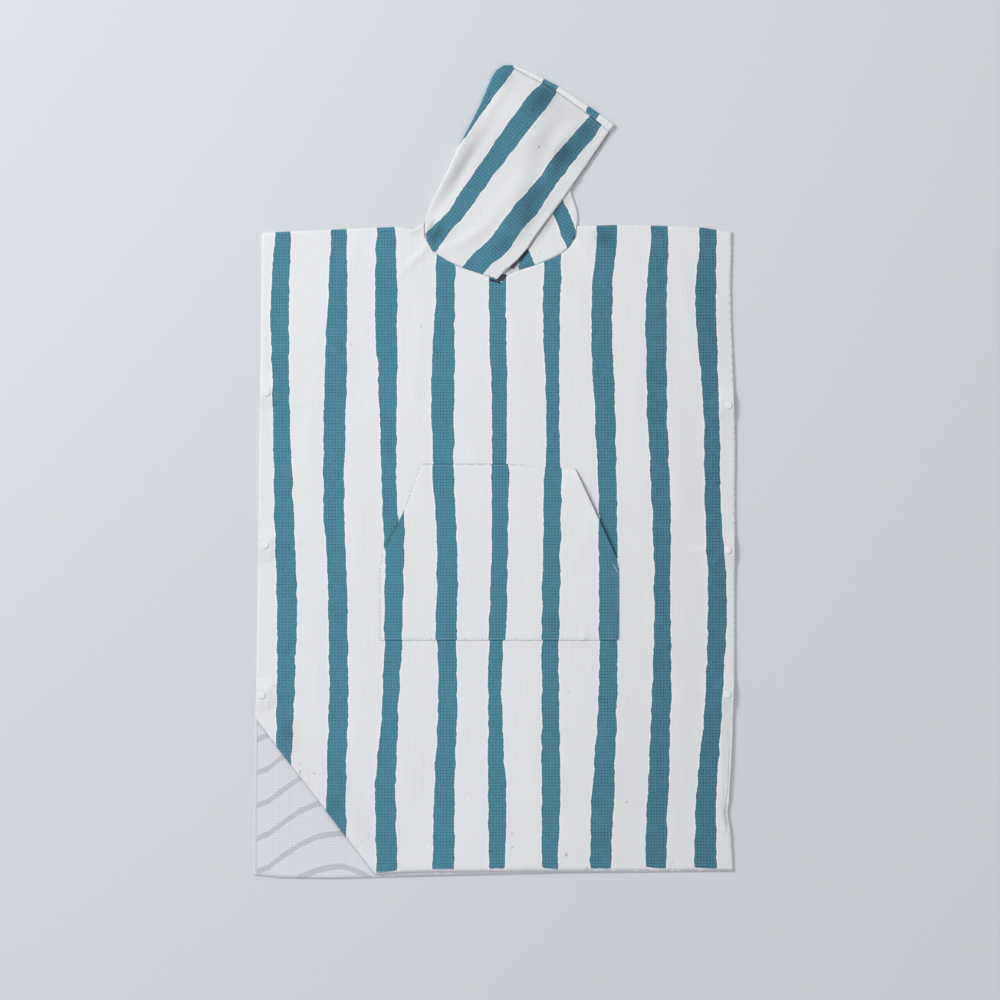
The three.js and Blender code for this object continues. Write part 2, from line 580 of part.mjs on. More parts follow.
function hoodLeftSide() {
  const foldShare = 0.37;
  const foldOpensUpTo = 0.5;
  const flapRisesUpTo = 0.35;
  const cornerFrom = 0.97;
  const nearFold = 0.05;
  const nearCrownCorner = 0.12;
  const crownInset = hoodFoldRadius + clothThickness / 2;
  const crownLine = (u) => onOutline(crownEdge, u);
  const crownAlong = crownLine(1).sub(crownLine(0)).normalize();
  const crownOutwards = new THREE.Vector2(-crownAlong.y, crownAlong.x);
  const left = (v) => {
    const { inwards } = hoodSilhouette(v);
    const sideways = v < seamMeets ? new THREE.Vector2(1, 0) : inwards;
    const corner = crownLine(0).addScaledVector(crownOutwards, -crownInset);
    const gap = hoodSeamGap + wideGapAtCrown * smooth((v - wideGapFrom) / wideGapReach);
    const seamSide = centreBackSeam(v).addScaledVector(sideways, gap);
    return seamSide.lerp(corner, smooth((v - cornerFrom) / (1 - cornerFrom)));
  };
  const foldRadiusAt = (s) => lerp(neckFoldRadius, sideFlapRadius, smooth(s / foldOpensUpTo));
  const foldLine = (s) => {
    const above = onOutline(neckFold, Math.min(s + nearFold, 1));
    const direction = above.sub(onOutline(neckFold, Math.max(s - nearFold, 0)));
    const outwards = new THREE.Vector2(direction.y, -direction.x).normalize();
    const start = onOutline(neckFold, s).addScaledVector(outwards, -(foldRadiusAt(s) + clothThickness / 2));
    return { start, outwards };
  };
  const right = (v) => {
    if (v <= foldShare) return foldLine(v / foldShare).start;
    const end = foldLine(1).start;
    const share = (v - foldShare) / (1 - foldShare);
    const edge = onOutline(lowerFace, share).sub(onOutline(lowerFace, 0)).add(end);
    const corner = crownLine(1).addScaledVector(crownOutwards, -crownInset);
    return edge.add(corner.sub(onOutline(lowerFace, 1).sub(onOutline(lowerFace, 0)).add(end)).multiplyScalar(share));
  };
  const bottom = (u) => {
    const x = lerp(left(0).x, right(0).x, u);
    const towardsFold = smooth((u - 1) * neckRunIn + 1);
    return new THREE.Vector2(x, lerp(backNeck(x) + hoodSeamGap, right(0).y, towardsFold));
  };
  const top = (u) => crownLine(u).addScaledVector(crownOutwards, -crownInset);
  const flapSection = (s, t) => {
    const from = foldLine(s).start;
    const to = onOutline(flapFace, s).lerp(from, s ** 6);
    const neckShift = onOutline(flapNeck, t).sub(along(onOutline(flapNeck, 0), onOutline(flapNeck, 1), t));
    const point = along(from, to, t).addScaledVector(neckShift, 1 - s);
    const under = lerp(layerStep, 2 * foldRadiusAt(s), smooth(s / flapRisesUpTo));
    return lying(point.x, point.y, under);
  };
  const foldCount = 5;
  const upCount = 7;
  const shares = [
    ...steps(foldCount).map((t) => t * foldShare),
    ...steps(upCount).slice(1).map((t) => lerp(foldShare, 1, t)),
  ];
  const flapColumns = 7;
  const bendColumns = 5;
  const lowerRows = shares.map((v) => {
    const below = hoodColumns.map((u) => {
      const point = patch(bottom, top, left, right, u, v);
      return lying(point.x, point.y, 0).reverse();
    });
    const s = v / foldShare;
    if (s > 1.0001) {
      return [...below, ...Array(bendColumns + flapColumns).fill(below[below.length - 1])];
    }
    const { start, outwards } = foldLine(s);
    const bend = steps(bendColumns).slice(1).map((t) => (
      bent(start, outwards, groundMiddle, foldRadiusAt(s), Math.PI * (1 - t))
    ));
    const flap = steps(flapColumns).slice(1).map((t) => flapSection(s, t));
    return [...below, ...bend, ...flap];
  });
  const extend = (sections) => [
    ...sections,
    ...Array(bendColumns + flapColumns).fill(sections[sections.length - 1]),
  ];
  const rollRows = steps(crownRows).slice(1).map((t) => extend(hoodColumns.map((u) => (
    bent(top(u), crownOutwards, groundMiddle, hoodFoldRadius, Math.PI * (1 - t))
  ))));
  const silhouetteEnd = hoodSilhouette(1);
  const seamStart = silhouetteEnd.edge.addScaledVector(silhouetteEnd.inwards, crownInset);
  const bandRows = [0.5, 1].map((t) => extend(hoodColumns.map((u) => {
    const gap = crownGap + crownCornerGap * (1 - smooth(u / nearCrownCorner));
    const seam = onOutline([seamStart, ...crownSeam], u).addScaledVector(crownOutwards, gap);
    if (u === 0) seam.copy(top(0)).addScaledVector(crownOutwards, -seamGap);
    const point = along(top(u), seam, t);
    return lying(point.x, point.y, 2 * hoodFoldRadius);
  })));
  return clothWall('hood_left_side', [...lowerRows, ...rollRows, ...bandRows].reverse(), 0xd5d8de);
}

// Geometry with its doubled points joined and its flat triangles left out
function welded(geometry) {
  const position = geometry.getAttribute('position');
  const unique = [];
  const renumber = [];
  for (let i = 0; i < position.count; i += 1) {
    const point = new THREE.Vector3().fromBufferAttribute(position, i);
    let found = unique.findIndex((other) => other.distanceTo(point) < 0.001);
    if (found < 0) {
      found = unique.length;
      unique.push(point);
    }
    renumber.push(found);
  }
  const index = [];
  for (let i = 0; i < geometry.index.count; i += 3) {
    const corners = [0, 1, 2].map((k) => renumber[geometry.index.getX(i + k)]);
    if (new Set(corners).size === 3) index.push(...corners);
  }
  return { positions: unique.flatMap((point) => point.toArray()), index };
}

// Snap halves. The cap lies outside the cloth, its post goes through a hole, and the socket or
// the stud sits on the inside.
function snapPart(name, profile, place) {
  const points = profile.map((row) => new THREE.Vector2(row.radius, row.height));
  const turned = new THREE.LatheGeometry(points, snapSides).rotateX(Math.PI / 2);
  const { positions, index } = welded(turned);
  const mesh = meshOf(name, positions, index, 0xf2f3f5, 0.25);
  mesh.position.set(place.x, place.y, 0);
  return mesh;
}

const studClothUnder = studLift;
const socketClothUnder = layerStep + snapLift;
const socketCapUnder = socketClothUnder + layerStep;
const socketTop = socketClothUnder - seamGap;
const socketRoof = 0.5;
const socketBottom = socketTop - 1.7;
const studFlangeUnder = studClothUnder + layerStep;
const studFlangeThickness = 0.6;

const socketProfile = [
  { radius: 0, height: socketTop - socketRoof },
  { radius: knobRadius + 0.4, height: socketTop - socketRoof },
  { radius: knobRadius + 0.4, height: socketBottom },
  { radius: socketRadius, height: socketBottom },
  { radius: socketRadius, height: socketTop },
  { radius: postRadius, height: socketTop },
  { radius: postRadius, height: socketCapUnder },
  { radius: capRadius, height: socketCapUnder },
  { radius: capRadius, height: socketCapUnder + capThickness * 0.6 },
  { radius: capRadius - 1, height: socketCapUnder + capThickness },
  { radius: 0, height: socketCapUnder + capThickness + capDome },
];
const studProfile = [
  { radius: 0, height: 0 },
  { radius: capRadius - 0.6, height: 0 },
  { radius: capRadius, height: capThickness * 0.5 },
  { radius: capRadius, height: capThickness },
  { radius: postRadius, height: capThickness },
  { radius: postRadius, height: studFlangeUnder },
  { radius: socketRadius, height: studFlangeUnder },
  { radius: socketRadius, height: studFlangeUnder + studFlangeThickness },
  { radius: knobRadius, height: studFlangeUnder + studFlangeThickness },
  { radius: knobRadius, height: socketTop - socketRoof - seamGap },
  { radius: 0, height: socketTop - socketRoof - seamGap },
];

const wasm = await Module();
wasm.setup();

function solidOf(mesh) {
  mesh.updateMatrixWorld();
  const geometry = mesh.geometry.clone().applyMatrix4(mesh.matrixWorld);
  return new wasm.Manifold(new wasm.Mesh({
    numProp: 3,
    vertProperties: new Float32Array(geometry.getAttribute('position').array),
    triVerts: new Uint32Array(geometry.index.array),
  }));
}

// Punches the holes that the posts of the snaps go through
function punched(mesh) {
  let solid = solidOf(mesh);
  for (const snap of snaps) {
    const cylinder = new THREE.CylinderGeometry(postHoleRadius, postHoleRadius, 30, 10);
    const { positions, index } = welded(cylinder.rotateX(Math.PI / 2).translate(snap.x, snap.y, 0));
    solid = solid.subtract(solidOf(meshOf('hole', positions, index, 0, 0)));
  }
  const result = solid.getMesh();
  const { color, roughness } = mesh.material;
  return meshOf(mesh.name, [...result.vertProperties], [...result.triVerts], color, roughness);
}

const poncho = new THREE.Group();
poncho.add(punched(backPanel()), punched(frontPanel()), pocket(), hoodRightSide(), hoodLeftSide());
for (const snap of snaps) {
  poncho.add(snapPart(`snap_cap_${snap.name}`, socketProfile, snap));
  poncho.add(snapPart(`snap_stud_${snap.name}`, studProfile, snap));
}

// The middle of the whole outline comes over the origin
const middle = new THREE.Box3().setFromObject(poncho, true).getCenter(new THREE.Vector3());
poncho.position.set(-middle.x, -middle.y, 0);

export default poncho;
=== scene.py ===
# Hooded bath poncho of striped waffle cloth, laid flat on its back with the hood turned to one side.
import math

import bmesh
import bpy
import numpy as np
from mathutils import Matrix, Vector
from mathutils.bvhtree import BVHTree


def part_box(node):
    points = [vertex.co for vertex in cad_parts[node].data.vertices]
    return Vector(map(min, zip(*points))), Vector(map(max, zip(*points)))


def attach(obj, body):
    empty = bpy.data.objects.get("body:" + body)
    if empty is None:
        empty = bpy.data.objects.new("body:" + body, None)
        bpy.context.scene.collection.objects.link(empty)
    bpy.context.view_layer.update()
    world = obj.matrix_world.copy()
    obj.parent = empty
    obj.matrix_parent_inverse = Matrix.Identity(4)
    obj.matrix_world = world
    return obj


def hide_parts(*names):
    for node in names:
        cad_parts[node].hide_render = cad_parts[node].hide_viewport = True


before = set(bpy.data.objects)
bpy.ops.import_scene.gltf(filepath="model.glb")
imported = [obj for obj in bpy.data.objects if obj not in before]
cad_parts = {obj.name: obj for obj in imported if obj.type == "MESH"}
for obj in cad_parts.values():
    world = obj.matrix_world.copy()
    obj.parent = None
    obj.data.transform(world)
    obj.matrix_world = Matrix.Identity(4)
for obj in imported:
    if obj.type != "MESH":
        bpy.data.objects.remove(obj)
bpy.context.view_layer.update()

# Camera: straight above the middle of the picture, far off on a long lens, so that nothing
# leans outwards. The picture takes in a square of floor 1.68 m wide.
view_middle = (0.0089, -0.0474)
view_width = 1.68
lens_length = 200
sensor_width = 36
view_distance = view_width * lens_length / sensor_width
bpy.ops.object.camera_add(location=(view_middle[0], view_middle[1], view_distance), rotation=(0, 0, 0))
camera = bpy.context.object
camera.data.lens = lens_length
camera.data.sensor_width = sensor_width
bpy.context.scene.camera = camera
bpy.context.scene.view_settings.view_transform = "Standard"


# Back panel: the lower of the two body panels, one piece of waffle cloth with its printed side on
# the floor. Its plain inside shows where the corner of the front is turned under, and the print
# of the other side shows through there as thin grey stripes.
mm = 0.001
print_side, plain_side, cut_edge = 0, 1, 2
merge_distance = 0.12 * mm
# Steps between neighbouring faces of the cloth that are too low, and faces too narrow, to keep
step_height = 0.5 * mm
sliver_area = 0.12 * mm ** 2
sliver_height = 0.06 * mm
# Longest edges allowed, round by round, in millimetres, and on the side that nobody sees
cell_steps = (40, 24, 14, 10, 7, 5, 3.5, 2.5)
hidden_cell = 20
fold_angle = math.radians(50)
level_share = 0.9


def sides_of_cloth(form, seed, up):
    """Marks each face as printed side, plain side or cut edge, going over the folds from a seed"""
    side = form.faces.layers.float.new("side")
    for face in form.faces:
        face[side] = cut_edge
    for value, facing in ((print_side, up), (plain_side, -up)):
        level = [face for face in form.faces if face.normal.z * facing > level_share]
        near = min((face.calc_center_median().xy - Vector(seed)).length for face in level)
        close = [f for f in level if (f.calc_center_median().xy - Vector(seed)).length < near + 5 * mm]
        first = max(close, key=lambda face: face.calc_center_median().z * facing)
        reached = {first}
        waiting = [first]
        while waiting:
            face = waiting.pop()
            face[side] = value
            for edge in face.edges:
                for other in edge.link_faces:
                    if other not in reached and edge.calc_face_angle(0) < fold_angle:
                        reached.add(other)
                        waiting.append(other)


def drop_doubles(form):
    """Takes out pairs of faces that lie back to back on the same three points"""
    form.verts.index_update()
    on_points = {}
    for face in form.faces:
        on_points.setdefault(frozenset(vert.index for vert in face.verts), []).append(face)
    doubles = [face for faces in on_points.values() for face in faces[len(faces) % 2:]]
    bmesh.ops.delete(form, geom=doubles, context="FACES")


def cloth_form(name, node, seed, cell, up=1, hidden=None, fine=()):
    """Cloth on the form of its solid, merged, and cut down to faces of the wanted size in
    millimetres: large on the hidden side, and small in the fine squares (x, y, reach, size)"""
    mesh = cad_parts[node].data.copy()
    mesh.name = name
    mesh.materials.clear()
    form = bmesh.new()
    form.from_mesh(mesh)
    bmesh.ops.remove_doubles(form, verts=form.verts, dist=merge_distance)
    low_steps = []
    for edge in form.edges:
        length = edge.calc_length()
        rise = abs(edge.verts[0].co.z - edge.verts[1].co.z)
        if rise > length / 2 and length < step_height:
            low_steps.append(edge)
    bmesh.ops.collapse(form, edges=low_steps)
    bmesh.ops.dissolve_degenerate(form, dist=sliver_height, edges=form.edges)
    bmesh.ops.triangulate(form, faces=form.faces)
    drop_doubles(form)
    form.normal_update()
    sides_of_cloth(form, seed, up)
    side = form.faces.layers.float["side"]

    def too_long(edge, longest):
        length = edge.calc_length() / mm
        if length <= longest:
            return False
        if all(face[side] == hidden for face in edge.link_faces):
            return length > hidden_cell
        x, y = (edge.verts[0].co.xy + edge.verts[1].co.xy) / (2 * mm)
        inside = [size for mid_x, mid_y, reach, size in fine if max(abs(x - mid_x), abs(y - mid_y)) < reach]
        return length > min(inside, default=cell)

    for longest in cell_steps:
        long_edges = [edge for edge in form.edges if too_long(edge, longest)]
        if not long_edges:
            break
        bmesh.ops.subdivide_edges(form, edges=long_edges, cuts=1)
        bmesh.ops.triangulate(form, faces=form.faces)
        drop_doubles(form)
    form.to_mesh(mesh)
    form.free()
    piece = bpy.data.objects.new(name, mesh)
    bpy.context.collection.objects.link(piece)
    return piece


def points_of(mesh):
    points = np.empty(len(mesh.vertices) * 3)
    mesh.vertices.foreach_get("co", points)
    return points.reshape(-1, 3)


def normals_of(mesh):
    normals = np.empty(len(mesh.vertices) * 3)
    mesh.vertices.foreach_get("normal", normals)
    return normals.reshape(-1, 3)


snap_nodes = sorted(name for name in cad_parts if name.startswith("snap_cap"))
snap_middles = [sum(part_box(name), Vector()) / 2 for name in snap_nodes]


def near_snaps(points, reach):
    """1 at a snap, falling to 0 within a reach given in metres"""
    near = np.zeros(len(points))
    for middle in snap_middles:
        distance = np.hypot(points[:, 0] - middle.x, points[:, 1] - middle.y)
        near = np.maximum(near, np.clip(1.6 - 1.6 * distance / reach, 0, 1))
    return near


def relax(piece, rounds):
    """Softens the heights of the level cloth, and leaves its cut edges and its folds as they are"""
    mesh = piece.data
    points = points_of(mesh)
    ends = np.empty(len(mesh.edges) * 2, int)
    mesh.edges.foreach_get("vertices", ends)
    ends = ends.reshape(-1, 2)
    corners = np.empty(len(mesh.loops), int)
    mesh.loops.foreach_get("vertex_index", corners)
    corners = corners.reshape(-1, 3)
    side = np.empty(len(mesh.polygons))
    mesh.attributes["side"].data.foreach_get("value", side)
    areas = np.empty(len(mesh.polygons))
    mesh.polygons.foreach_get("area", areas)
    facing = np.empty(len(mesh.polygons) * 3)
    mesh.polygons.foreach_get("normal", facing)
    spread = np.zeros((len(points), 3))
    for corner in range(3):
        np.add.at(spread, corners[:, corner], facing.reshape(-1, 3) * areas[:, None])
    free = np.abs(spread[:, 2]) > level_share * np.linalg.norm(spread, axis=1)
    free[corners[(side == cut_edge) & (areas > sliver_area)].ravel()] = False
    free[near_snaps(points, 30 * mm) > 0] = False
    count = np.bincount(ends.ravel(), minlength=len(points))
    for _ in range(rounds):
        total = np.zeros(len(points))
        np.add.at(total, ends[:, 0], points[ends[:, 1], 2])
        np.add.at(total, ends[:, 1], points[ends[:, 0], 2])
        points[free, 2] = 0.4 * points[free, 2] + 0.6 * (total / count)[free]
    mesh.vertices.foreach_set("co", points.ravel())


def crease_heights(creases, x, y):
    """Height of soft ridges in millimetres: each tapers along its length and bows to one side"""
    height = np.zeros(len(x))
    for middle_x, middle_y, length, width, turn, rise, bow in creases:
        angle = math.radians(turn)
        along = (x - middle_x) * math.cos(angle) + (y - middle_y) * math.sin(angle)
        across = (y - middle_y) * math.cos(angle) - (x - middle_x) * math.sin(angle)
        share = along / (length / 2)
        height += rise * np.exp(-share ** 2 - ((across - bow * share ** 2) / width) ** 2)
    return height


def lift(piece, heights):
    points = points_of(piece.data)
    points[:, 2] += heights * mm * (1 - near_snaps(points, 26 * mm))
    piece.data.vertices.foreach_set("co", points.ravel())


def keep_on_points(piece, name, values):
    layer = piece.data.attributes.new(name, "FLOAT", "POINT")
    layer.data.foreach_set("value", values)


def smooth_line(places, values, at):
    """A smooth line through charted points, given from the highest place to the lowest"""
    places = np.array(places, float)[::-1]
    values = np.array(values, float)[::-1]
    slopes = np.gradient(values, places)
    i = np.clip(np.searchsorted(places, at) - 1, 0, len(places) - 2)
    span = places[i + 1] - places[i]
    t = np.clip((at - places[i]) / span, 0, 1)
    rising = values[i] * (2 * t ** 3 - 3 * t ** 2 + 1) + slopes[i] * span * (t ** 3 - 2 * t ** 2 + t)
    falling = values[i + 1] * (3 * t ** 2 - 2 * t ** 3) + slopes[i + 1] * span * (t ** 3 - t ** 2)
    return rising + falling


def inside_stripes(heights, stripes, across, along):
    """Distance inside the nearest stripe's edge in millimetres, negative on the white between"""
    inside = np.full(len(across), -100.0)
    for edges in stripes:
        left = smooth_line(heights, [edge[0] for edge in edges], along)
        right = smooth_line(heights, [edge[1] for edge in edges], along)
        inside = np.maximum(inside, np.minimum(across - left, right - across))
    return inside


# Left and right edges of the body's painted stripes at these heights
body_heights = (398, 289, 121, -47, -215, -383, -551, -656)
body_stripes = (
    ((-369, -342), (-377, -346), (-372, -344), (-371, -339), (-366, -332), (-366, -337), (-367, -343),
     (-366, -340)),
    ((-275, -248), (-280, -248), (-287, -250), (-287, -253), (-280, -248), (-278, -246), (-283, -250),
     (-283, -248)),
    ((-198, -167), (-201, -164), (-194, -164), (-189, -164), (-184, -152), (-189, -161), (-201, -167),
     (-199, -164)),
    ((-97, -65), (-100, -67), (-107, -68), (-100, -70), (-99, -67), (-95, -63), (-102, -68), (-104, -68)),
    ((-6, 22), (-10, 19), (-5, 21), (-5, 19), (-8, 17), (-11, 12), (-11, 19), (-10, 17)),
    ((85, 113), (81, 110), (86, 108), (85, 111), (81, 108), (79, 108), (79, 110), (79, 106)),
    ((172, 205), (163, 197), (167, 202), (175, 205), (177, 207), (174, 205), (163, 200), (160, 195)),
    ((263, 291), (254, 289), (256, 289), (264, 295), (268, 295), (264, 296), (256, 291), (253, 288)),
    ((345, 373), (337, 372), (350, 377), (353, 379), (358, 390), (353, 382), (338, 372), (335, 373)),
)


def from_screen(red, green, blue):
    """Colour as seen on a screen, from 0 to 255, as light"""
    return tuple(((c / 255 + 0.055) / 1.055) ** 2.4 for c in (red, green, blue)) + (1.0,)


class Strand:
    """A number that varies over the cloth, on which arithmetic can be written"""

    def __init__(self, finish, socket):
        self.finish = finish
        self.socket = socket

    def count(self, operation, first, second=0.0):
        return self.finish.count(operation, first, second)

    def __add__(self, other):
        return self.count("ADD", self, other)

    def __sub__(self, other):
        return self.count("SUBTRACT", self, other)

    def __rsub__(self, other):
        return self.count("SUBTRACT", other, self)

    def __mul__(self, other):
        return self.count("MULTIPLY", self, other)

    def __truediv__(self, other):
        return self.count("DIVIDE", self, other)

    def __abs__(self):
        return self.count("ABSOLUTE", self)

    __radd__ = __add__
    __rmul__ = __mul__


class Finish:
    """The look of one piece: a material and the nodes that make its colour and relief"""

    def __init__(self, name, roughness):
        self.material = bpy.data.materials.new(name)
        self.material.use_nodes = True
        self.tree = self.material.node_tree
        self.shader = self.tree.nodes["Principled BSDF"]
        self.shader.inputs["Roughness"].default_value = roughness

    def feed(self, socket, value):
        if isinstance(value, Strand):
            self.tree.links.new(value.socket, socket)
        else:
            socket.default_value = value

    def add(self, kind, settings, inputs, output=0):
        node = self.tree.nodes.new(kind)
        for name, setting in settings.items():
            setattr(node, name, setting)
        for name, value in inputs.items():
            self.feed(node.inputs[name], value)
        return Strand(self, node.outputs[output])

    def count(self, operation, first, second=0.0):
        return self.add("ShaderNodeMath", {"operation": operation}, {0: first, 1: second})

    def place(self, turn=0.0):
        here = self.add("ShaderNodeTexCoord", {}, {}, "Object")
        return self.add("ShaderNodeMapping", {}, {"Vector": here, "Rotation": (0, 0, turn)})

    def part(self, vector, axis):
        return self.add("ShaderNodeSeparateXYZ", {}, {"Vector": vector}, axis)

    def noise(self, vector, size, detail=2.0):
        spots = self.add("ShaderNodeTexNoise", {}, {"Vector": vector, "Scale": 1 / size, "Detail": detail})
        return spots - 0.5

    def known(self, name):
        return self.add("ShaderNodeAttribute", {"attribute_name": name}, {}, "Fac")

    def step(self, value, start, end):
        settings = {"interpolation_type": "SMOOTHSTEP"}
        return self.add("ShaderNodeMapRange", settings, {"Value": value, "From Min": start, "From Max": end})

    def blend(self, share, first, second, mode="MIX"):
        settings = {"data_type": "RGBA", "blend_type": mode}
        return self.add("ShaderNodeMix", settings, {0: share, 6: first, 7: second}, 2)

    def grey(self, value):
        return self.add("ShaderNodeCombineXYZ", {}, {"X": value, "Y": value, "Z": value})

    def line(self, place, start, end, width):
        """1 along a straight line on the cloth, given in millimetres, and 0 beside it"""
        run = Vector(end) - Vector(start)
        length = run.length
        run /= length
        x = self.part(place, "X") / mm - start[0]
        y = self.part(place, "Y") / mm - start[1]
        beside = abs(x * run.y - y * run.x)
        down = x * run.x + y * run.y
        within = self.step(down, -1, 1) * (1 - self.step(down, length - 1, length + 1))
        return (1 - self.step(beside, width / 2 - 0.4, width / 2 + 0.4)) * within

    def relief(self, height, strength=1.0):
        inputs = {"Height": height, "Distance": 1.0, "Strength": strength}
        bump = self.add("ShaderNodeBump", {}, inputs, "Normal")
        self.feed(self.shader.inputs["Normal"], bump)


waffle_pitch = 5.2 * mm
waffle_depth = 0.45 * mm
white_ink = from_screen(238, 239, 240)
teal_ink = from_screen(73, 138, 159)
plain_inside = from_screen(224, 224, 231)
shown_through = from_screen(197, 199, 206)
thread_white = from_screen(224, 228, 231)
deep_shadow = from_screen(24, 38, 52)
ghost_spacing = 55.4
ghost_width = 10.0
bare_side = -399.5 * mm


def waffle_cloth(name, turn=0.0, shows_through=False, shadow_lines=()):
    """Printed waffle cloth: painted stripes on a grid of small square pits, over a plain inside.
    Lines are painted shadows along narrow gaps, seams, folds and grooves (start x, start y, end x,
    end y, width, darkness), which show more on the teal than on the white"""
    finish = Finish(name, 0.92)
    place = finish.place()
    drift = finish.noise(place, 45 * mm)
    grid = finish.place(turn)
    across = finish.part(grid, "X") + drift * (0.9 * mm)
    along = finish.part(grid, "Y") + drift * (0.7 * mm)
    wall_across = abs(finish.count("COSINE", across * (math.pi / waffle_pitch)))
    wall_along = abs(finish.count("COSINE", along * (math.pi / waffle_pitch)))
    # Painted shade: the waffle's pits, and the ribs between them, are darkened in the colour, more in some
    # places than in others
    pit = (1 - wall_across) * (1 - wall_along)
    rib = (1 - wall_along) * (1 - wall_along)
    uneven_pit_shade = finish.noise(place, 14 * mm, 1.0)
    pit_shade = pit * (0.62 + uneven_pit_shade * 2.2) + rib * (0.10 - uneven_pit_shade * 0.5)
    wander = finish.noise(place, 30 * mm, 1.5) * 6.5 + finish.noise(place, 8 * mm, 1.0) * 2.6
    edge = finish.known("stripe") + wander
    fibre = finish.noise(place, 1.3 * mm, 3.0)
    teal = finish.step(edge + fibre * 0.9, -0.4, 0.4)
    halo = finish.step(edge, -2.8, -1.4) * (1 - teal)
    rim = (1 - finish.step(edge, 0.8, 2.6)) * teal
    mottle = finish.noise(place, 2.1 * mm, 3.0)
    cloud = finish.noise(place, 70 * mm)
    upright = finish.add("ShaderNodeMapping", {}, {"Vector": grid, "Scale": (1, 0.05, 1)})
    streak = finish.noise(upright, 4 * mm, 2.0)
    # Painted shade: the cloth grows darker towards the right, where the light falls off
    shaded_rightwards = finish.step(finish.part(place, "X"), -0.1, 0.5)
    teal_light = 1.0 - pit_shade * 1.02 - rim * 0.10 + mottle * 0.66 + cloud * 0.14 - shaded_rightwards * 0.24
    white_light = 0.945 - pit * 0.05 + halo * 0.10 + mottle * 0.05 + streak * 0.07 + cloud * 0.03
    white_light -= shaded_rightwards * 0.07
    shade = 1 - finish.known("shade")
    teal_shade = finish.blend(1.0, teal_ink, finish.grey(teal_light), "MULTIPLY")
    white_shade = finish.blend(1.0, white_ink, finish.grey(white_light), "MULTIPLY")
    printed = finish.blend(teal, white_shade, teal_shade)
    lining = plain_inside
    if shows_through:
        wave = finish.known("ghost") + finish.noise(place, 22 * mm) * 4.5
        ghost = finish.count("PINGPONG", wave, ghost_spacing / 2) + fibre * 1.5
        ghost = 1 - finish.step(ghost, ghost_width / 2 - 0.6, ghost_width / 2 + 0.6)
        ghost *= finish.step(finish.part(place, "X"), bare_side - 1 * mm, bare_side + 1 * mm)
        lining = finish.blend(ghost, plain_inside, shown_through)
    # Painted shade in the pits of the plain inside
    lining_light = finish.grey(1 - pit * 0.16 + mottle * 0.08 + streak * 0.04)
    lining = finish.blend(1.0, lining, lining_light, "MULTIPLY")
    side = finish.known("side")
    inside = finish.step(side, 0.4, 0.6)
    raw = finish.step(side, 1.4, 1.6)
    colour = finish.blend(raw, finish.blend(inside, printed, lining), white_ink)
    colour = finish.blend(1.0, colour, finish.grey(shade), "MULTIPLY")
    # Painted shadows: dark lines and patches where gaps, folds, grooves and seams fall into shade
    for start_x, start_y, end_x, end_y, width, dark in shadow_lines:
        on_white = dark ** 1.6
        share = finish.line(place, (start_x, start_y), (end_x, end_y), width)
        colour = finish.blend(share * (on_white + teal * (dark - on_white)), colour, deep_shadow)
    finish.feed(finish.shader.inputs["Base Color"], colour)
    finish.relief((1 - pit) * (teal * 0.6 + 0.4) * waffle_depth + fibre * (0.10 * mm), 0.7)
    finish.shader.inputs["Sheen Weight"].default_value = 0.12
    finish.shader.inputs["Sheen Roughness"].default_value = 0.6
    return finish.material


def finish_cloth(piece, node, material):
    piece.data.materials.append(material)
    bpy.ops.object.select_all(action="DESELECT")
    bpy.context.view_layer.objects.active = piece
    piece.select_set(True)
    bpy.ops.object.shade_smooth_by_angle(angle=math.radians(40))
    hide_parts(node)
    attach(piece, "root")


# How far the thin grey stripes rise from the left edge inwards, and where the first one starts
ghost_start = -450.5
ghost_rise = ((-400, 0), (-380, 8), (-357, 26), (-328, 46), (-295, 60), (-255, 65), (-215, 49), (-180, 20))
back_shades = ((26, 338, 26, 12, 45, 0.25, 0),)
# Painted shadows, as lines: in the neck opening under the hood, in the gap beside the hood's face edge, and
# beside the turned-under corner
back_shadow_lines = (
    (-10, 325.5, 20, 325.5, 11, 0.96), (3, 330, 19.5, 330, 4, 0.96), (28, 343, 56, 375, 9, 0.85),
    (12, 331, 36, 349, 5, 0.4), (-401.6, -415.6, -202, -675.9, 2.4, 0.35),
)

back_fine = ((-330, -560, 140, 5), (20, 335, 40, 3.5))
back_cloth = cloth_form("back", "back_panel", (0.1, 0.0), 14, up=-1, hidden=print_side, fine=back_fine)
spots = points_of(back_cloth.data) / mm
keep_on_points(back_cloth, "stripe", inside_stripes(body_heights, body_stripes, spots[:, 0], spots[:, 1]))
risen = np.interp(spots[:, 0], [row[0] for row in ghost_rise], [row[1] for row in ghost_rise])
keep_on_points(back_cloth, "ghost", spots[:, 1] - risen - ghost_start)
keep_on_points(back_cloth, "shade", np.clip(crease_heights(back_shades, spots[:, 0], spots[:, 1]), 0, 0.95))
back_finish = waffle_cloth("back waffle cloth", shows_through=True, shadow_lines=back_shadow_lines)
finish_cloth(back_cloth, "back_panel", back_finish)


